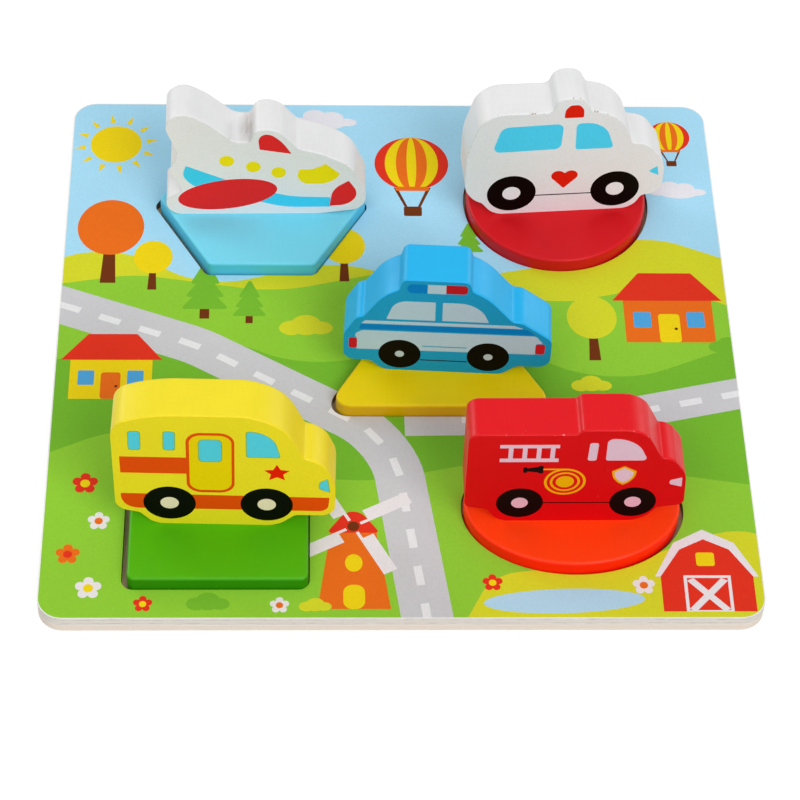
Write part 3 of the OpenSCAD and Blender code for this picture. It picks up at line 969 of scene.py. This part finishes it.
def fire_print():
    rails = [pane(-24.4, -6.2, 36.1, 37.7), pane(-24.2, -6.2, 29.4, 31.1)]
    rungs = [pane(x - 0.7, x + 0.7, 30.8, 36.5) for x in (-21, -16.7, -12.4, -8.2)]
    coil = [(FIRE_YELLOW if i % 2 == 0 else FIRE_RED, oval(-3.5, 19.6, radius))
            for i, radius in enumerate((6.45, 5.65, 4.65, 3.9, 2.8))]
    hose = (FIRE_YELLOW, rounded([(-11, 25.5), (-4, 25.3), (-4, 26.05), (-11, 26.05)]))
    nozzle = [pane(-16.7, -15.5, 24.1, 26.8, 0.4), pane(-12.1, -10.5, 23.8, 27.5, 0.5),
              rounded([(-15.8, 24.8), (-11.8, 24.2), (-11.8, 27.1), (-15.8, 26.2)])]
    badge = [(14.4, 27.2, 0.2), (10.7, 24.7, 0.3), (11.3, 20.3, 6), (14.5, 18, 0.3),
             (17.8, 20.3, 6), (18.3, 24.7, 0.3)]
    middle = Vector((14.5, 22.8))
    inner = [(*(middle + (Vector(corner[:2]) - middle) * 0.79), corner[2] * 0.79) for corner in badge]
    windows = [pane(2.7, 5.4, 30, 38.5, 0.8, 0.2),
               rounded([(8.3, 30, 0.9), (21.3, 30, 1.3), (16.9, 40.4, 9), (8.2, 40.4, 2)])]
    light = rounded([(29, 20.2, 0.9), (29, 18.3, 0.9), (32.9, 17, 0.2), (32.7, 21.5, 0.2)])
    return ([coat("fire_engine", "#d60a10")] + inked(FIRE_PALE, rails + rungs + windows + [light])
            + [hose] + coil + inked("#0a0404", nozzle)
            + [(FIRE_YELLOW, rounded(badge)), (FIRE_PALE, rounded(inner))]
            + [line("#3c0a0a", -10, 11.4, 9.1, 0.5)]
            + wheel(-16.9, 9.05, 7.3, 2.6, FIRE_HUB) + wheel(18.4, 9.35, 7.3, 2.6, FIRE_HUB))


face_print("fire_engine", "fire_piece", fire_print())

# %% [markdown]
# The airplane has a canopy, a cockpit window, a long stripe, three dots, and a wing that is one
# slightly turned ellipse.

# %% Airplane print
PLANE_RED, PLANE_YELLOW, PLANE_BLUE = "#ea2a2b", "#fae410", "#44d2f8"


def airplane_print():
    canopy = rounded([(-2, 30.8, 0.2), (8.8, 28.7, 0.2), (5.5, 34.5, 12), (1.8, 37.9, 3.5),
                      (-2.6, 37.7, 3.3)])
    cockpit = rounded([(11.3, 21.3, 0.2), (10.6, 18, 2.5), (12.3, 14.4, 3.5), (22.6, 14.4, 7),
                       (25.1, 19.1, 0.2), (20.1, 24, 0.2), (16.6, 21.3, 8)])
    stripe = rounded([(-26.9, 23.2, 0.3), (-28.4, 18.6, 4.5), (-25, 13.6, 6), (6, 3.1, 25),
                      (21.9, 3.2), (21.9, 7.8), (8, 8.3, 25), (-8, 13.7, 25)])
    nose = rounded([(21.6, 3.6, 0.2), (28.6, 4.2, 6), (31.5, 9.8, 5), (28.1, 15.8, 0.3), (22.6, 11.8, 7)])
    dots = [oval(x, y, 2.5) for x, y in ((-13.1, 25.4), (-4.2, 22.6), (4.3, 19.9))]
    wing = oval(-13.1, 9.5, 17.1, 6.9, 10, 72)
    return ([coat("airplane", "#eeebee"), (PLANE_RED, canopy), (PLANE_BLUE, stripe),
             (PLANE_YELLOW, cockpit), (PLANE_RED, nose), (PLANE_RED, wing)] + inked(PLANE_YELLOW, dots))


face_print("airplane", "plane_piece", airplane_print())

# %% [markdown]
# The ambulance has a beacon on its roof, two windows, a headlight and a plain heart on its side.

# %% Ambulance print
AMBULANCE_GLASS, AMBULANCE_RED, AMBULANCE_HUB = "#50d8ff", "#e4200e", "#eef1f5"


def ambulance_print():
    beacon = rounded([(-2.1, 44.5, 0.7), (4.5, 44.5, 0.7), (4.3, 48.2, 2.4), (2.7, 50.3, 1.6),
                      (-0.3, 50.3, 1.6), (-1.9, 48.2, 2.4)])
    back = rounded([(-25.6, 29.6, 2.4), (-2.3, 30.2, 2.4), (-1.9, 41.9, 2.4), (-22.7, 41.3, 3.4)])
    front = rounded([(2.7, 29.6, 1), (15.8, 29.6, 1.3), (12, 41.8, 8), (2.3, 41.8, 1.8)])
    heart = [oval(-2.3, 17.3, 2.35), oval(2.1, 17.3, 2.35),
             rounded([(-4.3, 16.1), (-0.1, 11.2, 0.4), (4.1, 16.1), (-0.1, 18.7)])]
    light = rounded([(28.6, 17.5, 0.8), (31.7, 19.9, 0.2), (32.5, 15.4, 0.2)])
    return ([coat("ambulance", "#ecedf0")] + inked(AMBULANCE_GLASS, [back, front, light])
            + inked(AMBULANCE_RED, [beacon] + heart) + [line("#1e1a20", -10, 10, 8.3, 0.5)]
            + wheel(-17.9, 9.8, 8.4, 3.1, AMBULANCE_HUB) + wheel(17.8, 9.8, 8.4, 3.1, AMBULANCE_HUB))


face_print("ambulance", "round_grip", ambulance_print())

# %% [markdown]
# The board's picture is a plain farm landscape in flat, bright inks. Each motif is a small function
# that returns its areas of ink. Its sizes are shares of one size, so a tree or a cloud can be printed
# anywhere, small or large.

# %% Inks and the sky's motifs
SKY, CLOUD, GRASS, DEEP_GRASS, LIME = "#a8dcf4", "#e6e4ea", "#8fca38", "#76b830", "#d4d62c"
ORANGE, YELLOW, RED, BROWN = "#ea6e1c", "#f0d416", "#e23420", "#6e3210"
ROAD, DASH, GLASS, WATER, PALE = "#cbcbce", "#e8e8ea", "#50a5dc", "#afd6ea", "#e9e4e6"


def drawn(x, y, size, corners):
    """A rounded outline whose corners, and any radii, are shares of a motif's size."""
    return rounded([(x + a * size, y + b * size, *(r * size for r in radius)) for a, b, *radius in corners])


def cloud(x, y, w):
    """Five puffs round a middle one."""
    puffs = [(-0.33, -0.01, 0.17, 0.09), (-0.13, 0.12, 0.17, 0.12), (0.12, 0.08, 0.18, 0.12),
             (0.34, -0.02, 0.16, 0.08), (0.02, -0.07, 0.3, 0.1)]
    return [(CLOUD, oval(x + dx * w, y + dy * w, rx * w, ry * w)) for dx, dy, rx, ry in puffs]


def sun(x, y, r):
    """A disc with twelve rays."""
    rays = []
    for i in range(12):
        turn = Matrix.Rotation(math.radians(30 * i + 8), 2)
        ray = ((1.2, -0.12), (1.65, 0), (1.2, 0.12))
        rays.append((YELLOW, [Vector((x, y)) + turn @ Vector(p) * r for p in ray]))
    return [(YELLOW, oval(x, y, r, count=48))] + rays


print("a cloud is", len(cloud(0, 0, 20)), "areas of ink, the sun", len(sun(0, 0, 9)))

# %% [markdown]
# Trees, bushes and flowers are ovals and rounded triangles that overlap.

# %% Trees and flowers
def round_tree(x, y, h, crown):
    """A trunk under an oval crown."""
    trunk = drawn(x, y, h, [(-0.07, 0), (0.07, 0), (0.04, 0.6), (-0.04, 0.6)])
    return [(BROWN, trunk), (crown, oval(x, y + 0.68 * h, 0.3 * h, 0.34 * h))]


def fir_tree(x, y, h, crown=DEEP_GRASS):
    """A trunk under three tiers, each narrower than the one below."""
    trunk = pane(x - 0.06 * h, x + 0.06 * h, y, y + 0.3 * h)
    tiers = [drawn(x, y, h, [(-w, low, 0.03), (w, low, 0.03), (0, low + 0.42, 0.04)])
             for w, low in ((0.3, 0.16), (0.25, 0.36), (0.19, 0.58))]
    return [(BROWN, trunk)] + inked(crown, tiers)


def bush(x, y, w, ink=LIME):
    """Two low ovals and a taller one between them."""
    return inked(ink, [oval(x - 0.3 * w, y, 0.26 * w, 0.2 * w), oval(x + 0.3 * w, y, 0.26 * w, 0.18 * w),
                       oval(x, y + 0.08 * w, 0.32 * w, 0.28 * w)])


def flower(x, y, size, petal, heart=YELLOW):
    """Five petals round a heart."""
    ring = [(petal, oval(x + size * math.cos(a), y + size * math.sin(a), 0.62 * size, count=16))
            for a in (math.radians(90 + 72 * i) for i in range(5))]
    return ring + [(heart, oval(x, y, 0.6 * size, count=16))]


print("a fir tree is", len(fir_tree(0, 0, 20)), "areas of ink, a flower", len(flower(0, 0, 2, RED)))

# %% [markdown]
# The houses. Each is a wall with its roof, and doors and windows printed over it.

# %% Cottage and barn
def cottage(x, y, w, wall, roof, door):
    """A house with a gable roof, w wide, whose door sill is at (x, y)."""
    h = 0.62 * w
    top = y + h
    return [(wall, pane(x - w / 2, x + w / 2, y, top)),
            (roof, rounded([(x - 0.62 * w, top), (x + 0.62 * w, top), (x + 0.3 * w, top + 0.42 * w, 1),
                            (x - 0.3 * w, top + 0.42 * w, 1)])),
            (door, pane(x - 0.12 * w, x + 0.12 * w, y, y + 0.42 * w, 0.04 * w)),
            (GLASS, pane(x - 0.4 * w, x - 0.2 * w, y + 0.22 * w, y + 0.45 * w, 0.02 * w)),
            (GLASS, pane(x + 0.2 * w, x + 0.4 * w, y + 0.22 * w, y + 0.45 * w, 0.02 * w)),
            (BROWN, oval(x + 0.07 * w, y + 0.2 * w, 0.02 * w, count=12))]


def barn(x, y, w):
    """A red barn with a broken roof line and a braced white door."""
    wall = drawn(x, y, w, [(-0.5, 0), (0.5, 0), (0.5, 0.5), (0.3, 0.86), (0, 1.02), (-0.3, 0.86),
                           (-0.5, 0.5)])
    edge = drawn(x, y, w, [(-0.56, 0.46), (-0.5, 0.46), (-0.27, 0.82), (0, 0.96), (0.27, 0.82), (0.5, 0.46),
                           (0.56, 0.46), (0.33, 0.91), (0, 1.09), (-0.33, 0.91)])
    d, t = 0.22, 0.035
    brace = [drawn(x, y, w, [(-way * d, t), (-way * (d - 2 * t), 0), (way * d, 2 * d - t),
                             (way * (d - 2 * t), 2 * d)]) for way in (1, -1)]
    d, t = d * w, t * w
    return ([(RED, wall), (PALE, edge), (PALE, pane(x - d - t, x + d + t, y, y + 2 * d + t)),
             (RED, pane(x - d, x + d, y + t / 2, y + 2 * d))] + inked(PALE, brace)
            + [(YELLOW, pane(x - 0.1 * w, x + 0.1 * w, y + 0.6 * w, y + 0.78 * w, 0.03 * w))])


print("a barn is", len(barn(0, 0, 29)), "areas of ink")

# %% [markdown]
# A windmill stands on the ground and two balloons hang in the sky. The mill's four sails are one
# outline, turned by a quarter each time.

# %% Windmill and balloon
def windmill(x, y, h):
    """An orange tower with a cap and four sails."""
    tower = drawn(x, y, h, [(-0.27, 0), (0.27, 0), (0.17, 0.72), (-0.17, 0.72)])
    cap = drawn(x, y, h, [(-0.2, 0.7, 0.02), (0.2, 0.7, 0.02), (0, 0.98, 0.12)])
    hub = Vector((x, y + 0.76 * h))
    door = pane(x - 0.08 * h, x + 0.08 * h, y, y + 0.22 * h, 0.07 * h)
    window = oval(x, y + 0.42 * h, 0.065 * h, 0.08 * h)
    parts = [(ORANGE, tower), (RED, cap), (YELLOW, door), (YELLOW, window)]
    for quarter in range(4):
        turn = Matrix.Rotation(math.radians(28 + 90 * quarter), 2)
        sail = [(0.06, -0.012), (0.5, -0.012), (0.5, 0.1), (0.13, 0.1), (0.13, 0.012), (0.06, 0.012)]
        parts.append((PALE, [hub + turn @ Vector(p) * h for p in sail]))
    return parts + [(BROWN, oval(hub.x, hub.y, 0.045 * h, count=24))]


def balloon(x, y, r):
    """A hot air balloon with gores in three inks."""
    gores = [(RED, 1), (YELLOW, 0.72), (ORANGE, 0.42), (YELLOW, 0.13)]
    ropes = drawn(x, y, r, [(-0.5, -0.9), (0.5, -0.9), (0.22, -1.6), (-0.22, -1.6)])
    between_ropes = drawn(x, y, r, [(-0.4, -0.9), (0.4, -0.9), (0.14, -1.6), (-0.14, -1.6)])
    return ([(BROWN, ropes), (SKY, between_ropes)]
            + [(ink, oval(x, y, r * share, r, count=48)) for ink, share in gores]
            + [(ORANGE, pane(x - 0.45 * r, x + 0.45 * r, y - 1.02 * r, y - 0.86 * r, 0.06 * r)),
               (BROWN, pane(x - 0.24 * r, x + 0.24 * r, y - 1.95 * r, y - 1.6 * r, 0.05 * r))])


print("a windmill is", len(windmill(0, 0, 42)), "areas of ink, a balloon", len(balloon(0, 0, 13)))

# %% [markdown]
# The road is a band along a bent line. Its centre line has a few corners with large radii, and
# the band's two sides are the same corners moved sideways, so both sides bend about one middle.

# %% Road
ROAD_W_MM = 16
ROAD_STEP = math.radians(6)
MAIN_ROAD = [(-122, 20, 0), (-66, -2, 40), (-2, -42, 34), (9, -124, 0)]
SIDE_ROAD = [(122, -20, 0), (66, -33, 60), (2, -34, 0)]


def band(path, width):
    """The outline of a road along path, a list of (x, y, radius)."""
    places = [Vector(p[:2]) for p in path]
    sides = ([], [])
    for i, place in enumerate(places):
        into = (place - places[i - 1]).normalized() if i else (places[1] - place).normalized()
        out = (places[i + 1] - place).normalized() if i + 1 < len(places) else into
        mid = (into + out).normalized()
        across = Vector((-mid.y, mid.x)) / max(0.2, mid.dot(into))
        left_turn = into.x * out.y - into.y * out.x > 0
        radius = path[i][2]
        for k, side in enumerate(sides):
            way = 1 if k == 0 else -1
            inner = left_turn == (way == 1)
            side_radius = max(0, radius - width / 2 if inner else radius + width / 2) if radius else 0
            side.append((*(place + across * way * width / 2), side_radius))
    return rounded(sides[0] + sides[1][::-1], ROAD_STEP)


print("the main road's outline has", len(band(MAIN_ROAD, ROAD_W_MM)), "points")

# %% [markdown]
# The dashes walk along the rounded centre line at a steady rate. One side of a road that is hardly
# any width at all serves as that line.

# %% Dashes
DASH_MM = (7.5, 2.6)
DASH_GAP_MM = 7
HAIR_MM = 0.01


def dashes(path, start, end):
    """Dashes between two distances along the rounded centre line."""
    line_points = band(path, HAIR_MM)
    line_points = line_points[:len(line_points) // 2]
    shapes, walked, next_at = [], 0.0, start
    for a, b in zip(line_points, line_points[1:]):
        step = (b - a).length
        while next_at <= walked + step and next_at < end and step > 0:
            centre = a.lerp(b, (next_at - walked) / step)
            way = (b - a).normalized()
            along, across = way * DASH_MM[0] / 2, Vector((-way.y, way.x)) * DASH_MM[1] / 2
            shapes.append((DASH, [centre - along - across, centre + along - across,
                                  centre + along + across, centre - along + across]))
            next_at += DASH_MM[0] + DASH_GAP_MM
        walked += step
    return shapes


print(len(dashes(MAIN_ROAD, 14, 230)), "dashes on the main road")

# %% [markdown]
# The picture is trimmed to the board's edge. A narrow white border stays all round, where the
# paper's edge shows its core. The recesses are cut through it: their outlines come from the blocks,
# moved out by the play.

# %% Board edge and recesses
BOARD_R_MM = 8
BORDER_MM = 0.35
RECESS_GAP_MM = 1.15
RECESS_PLACES = {
    "square": (-0.257, -0.322), "triangle": (0.061, -0.042), "oval": (0.242, -0.312),
    "hexagon": (-0.202, 0.274), "round": (0.252, 0.2847),
}
half = board_w / 2


def board_outline(inset=0.0):
    """The board's rounded square, or one that lies inside it."""
    edge, r = half - inset, BOARD_R_MM - inset
    return pane(-edge, edge, -edge, edge, r)


def recesses():
    """The five cuts, at the places of the frame's own recesses, in shares of the board's width."""
    cuts = block_outlines(RECESS_GAP_MM)
    return [[p + Vector(RECESS_PLACES[name]) * board_w for p in cut] for name, cut in cuts.items()]


print(len(recesses()), "recesses")

# %% [markdown]
# Now the picture is laid out, from the sky down to the flowers. What comes later in the list covers
# what came before it.

# %% Landscape
def hills(*corners):
    """A hill line from left to right, closed below the board."""
    return rounded([*corners, (half + 9, -half - 9), (-half - 9, -half - 9)][::-1], math.radians(5))


def sky_and_hills():
    """The sky, the hills and the roads, which lie behind the farm."""
    picture = [(SKY, board_outline(BORDER_MM))]
    picture += sun(-97, 92, 9) + cloud(-24, 104, 24) + cloud(46, 106, 22) + cloud(100, 70, 20)
    picture += balloon(7, 83, 13) + balloon(99, 97, 7.5)
    picture.append((LIME, hills((-122, 34), (-96, 44, 30), (-64, 24, 30), (-20, 36, 30), (12, 26, 20),
                                (50, 34, 40), (86, 50, 30), (122, 34))))
    picture.append((GRASS, hills((-122, 24), (-88, 30, 40), (-40, 22, 50), (8, 34, 30), (52, 16, 40),
                                 (92, 26, 40), (122, 12))))
    picture.append((DEEP_GRASS, hills((-122, -12), (-70, 8, 60), (-26, -14, 40), (20, 8, 50),
                                      (70, -20, 40), (122, 2))))
    picture.append((GRASS, hills((-122, -52), (-84, -34, 40), (-20, -62, 60), (40, -48, 50), (122, -62))))
    picture.append((LIME, rounded([(14, -124), (28, -96, 14), (74, -90, 30), (124, -70, 20), (124, -124)])))
    picture.append((ROAD, band(SIDE_ROAD, ROAD_W_MM * 0.8)))
    picture.append((ROAD, band(MAIN_ROAD, ROAD_W_MM)))
    return picture + dashes(SIDE_ROAD, 12, 100) + dashes(MAIN_ROAD, 14, 230)


def farm():
    """The farm's houses, trees, flowers and pond."""
    picture = round_tree(-97, 26, 38, ORANGE) + round_tree(-82, 23, 22, YELLOW)
    picture += fir_tree(-64, 10, 27) + fir_tree(-49, 8, 20) + bush(-30, 6, 16, LIME)
    picture += cottage(-94, -25, 27, YELLOW, RED, ORANGE)
    picture += flower(-100, -60, 2.6, RED) + flower(-95, -75, 2.2, PALE, ORANGE)
    picture += flower(-104, -88, 2.4, ORANGE, RED) + flower(-97, -101, 2.6, PALE)
    picture += bush(-60, -107, 12, DEEP_GRASS)
    picture += flower(-80, -107, 1.9, RED) + flower(-38, -107.5, 1.9, PALE, ORANGE)
    picture += windmill(-15, -109, 42) + bush(-27, -108, 9, LIME)
    picture += fir_tree(26, 38, 17) + round_tree(-17, 27, 24, YELLOW)
    picture += cottage(92, 0, 30, ORANGE, RED, YELLOW) + round_tree(66, -8, 28, LIME)
    picture += bush(111, -2, 12, DEEP_GRASS) + bush(64, -19, 12, LIME)
    picture.append((WATER, oval(50, -106, 25, 4.6, 2, 64)))
    picture += barn(95, -110, 29) + flower(28, -99, 2, RED) + flower(75, -100, 2.2, PALE, ORANGE)
    return picture


print(len(sky_and_hills()), "areas of land and sky,", len(farm()), "areas of farm")

# %% [markdown]
# Last comes the paper itself: one closed sheet that takes the place of the frame's plain one.

# %% Board picture
PAPER = "#f1efec"


def board_print():
    """The paper with the picture on it and the recesses cut through both."""
    low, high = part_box("print_sheet")
    shapes = [(PAPER, board_outline())] + sky_and_hills() + farm() + inked(None, recesses())
    bm = ink_sheet(shapes, (high.z - low.z) / MM, trimmed=True)
    piece = object_of("board_picture", bm, Matrix.Translation((0, 0, low.z)), board_ink)
    declare(piece, "board", "print_sheet")
    print("picture with", len(shapes), "areas,", len(piece.data.polygons), "faces")


board_print()

# %% [markdown]
# The floor is a white table. To the camera, and in reflections, it looks pure white, because part
# of what they see there glows. To everything else it is a plain pale surface that gives soft light
# back from below and takes the object's shadow.

# %% Floor
FLOOR_REACH_MM = 3000
TABLE_PAINT, TABLE_DIM, TABLE_GLOW = "#cdcdcd", 0.25, 0.8


def seen_directly(tree):
    """1 for rays of the camera and in mirrors or glass, 0 for those that carry light."""
    path = add(tree, "LightPath", {}).outputs
    seen = path["Is Camera Ray"]
    for way in ("Is Glossy Ray", "Is Transmission Ray"):
        seen = add(tree, "Math", {0: seen, 1: path[way]}, operation="MAXIMUM").outputs[0]
    return seen


def white_table():
    """Plain to the light, and partly glowing to whoever looks at it."""
    material, tree, _ = new_material("white_table")
    plain = add(tree, "BsdfDiffuse", {"Color": linear(TABLE_PAINT)}).outputs["BSDF"]
    dim = add(tree, "BsdfDiffuse", {"Color": (TABLE_DIM, TABLE_DIM, TABLE_DIM, 1)}).outputs["BSDF"]
    glow = add(tree, "Emission", {"Color": (1, 1, 1, 1), "Strength": TABLE_GLOW}).outputs["Emission"]
    seen = add(tree, "AddShader", {0: dim, 1: glow}).outputs[0]
    mixed = add(tree, "MixShader", {0: seen_directly(tree), 1: plain, 2: seen}).outputs[0]
    add(tree, "OutputMaterial", {"Surface": mixed})
    return material


bm = bmesh.new()
bmesh.ops.create_grid(bm, x_segments=1, y_segments=1, size=FLOOR_REACH_MM)
floor = object_of("floor", bm, Matrix.Identity(4), white_table())
print("floor", 2 * FLOOR_REACH_MM, "mm wide")

# %% [markdown]
# The photo was lit by big soft lamps, so its shadows are short and weak. A bright even sky does
# part of the work. Two large softboxes stand in front, high up, the stronger one on the right, and
# one hangs above the board. Two weak ones low behind the board put the sheen on the rounded corners
# of the vehicles.

# %% Light
SKY_LIGHT = 0.4
SOFTBOXES = {
    "softbox_key": ((1300, -2300, 2500), 1700, 67),
    "softbox_fill": ((-1300, -2300, 2500), 1700, 24),
    "softbox_above": ((-100, 200, 3000), 1500, 8),
    "softbox_left": ((-1170, 940, 600), 470, 6.5),
    "softbox_right": ((1250, 1070, 400), 470, 3),
}


def softbox(name, place_mm, size_mm, watts):
    """A square lamp that looks at the middle of the board."""
    lamp = bpy.data.lights.new(name, "AREA")
    lamp.shape = "SQUARE"
    lamp.size = size_mm * MM
    lamp.energy = watts
    lit = bpy.data.objects.new(name, lamp)
    lit.location = Vector(place_mm) * MM
    lit.rotation_mode = "QUATERNION"
    lit.rotation_quaternion = lit.location.to_track_quat("Z", "Y")
    scene.collection.objects.link(lit)


def sky():
    """A plain bright world, brighter to the eye than to the object."""
    world = bpy.data.worlds.new("studio")
    scene.world = world
    world.use_nodes = True
    tree = world.node_tree
    tree.nodes.clear()
    strength = add(tree, "MapRange", {
        "Value": seen_directly(tree), "To Min": SKY_LIGHT, "To Max": 1.0
    }).outputs["Result"]
    light = add(tree, "Background", {"Color": (1, 1, 1, 1), "Strength": strength}).outputs[0]
    add(tree, "OutputWorld", {"Surface": light})


sky()
for name, (place_mm, size_mm, watts) in SOFTBOXES.items():
    softbox(name, place_mm, size_mm, watts)
    print(name, size_mm, "mm wide,", watts, "W")
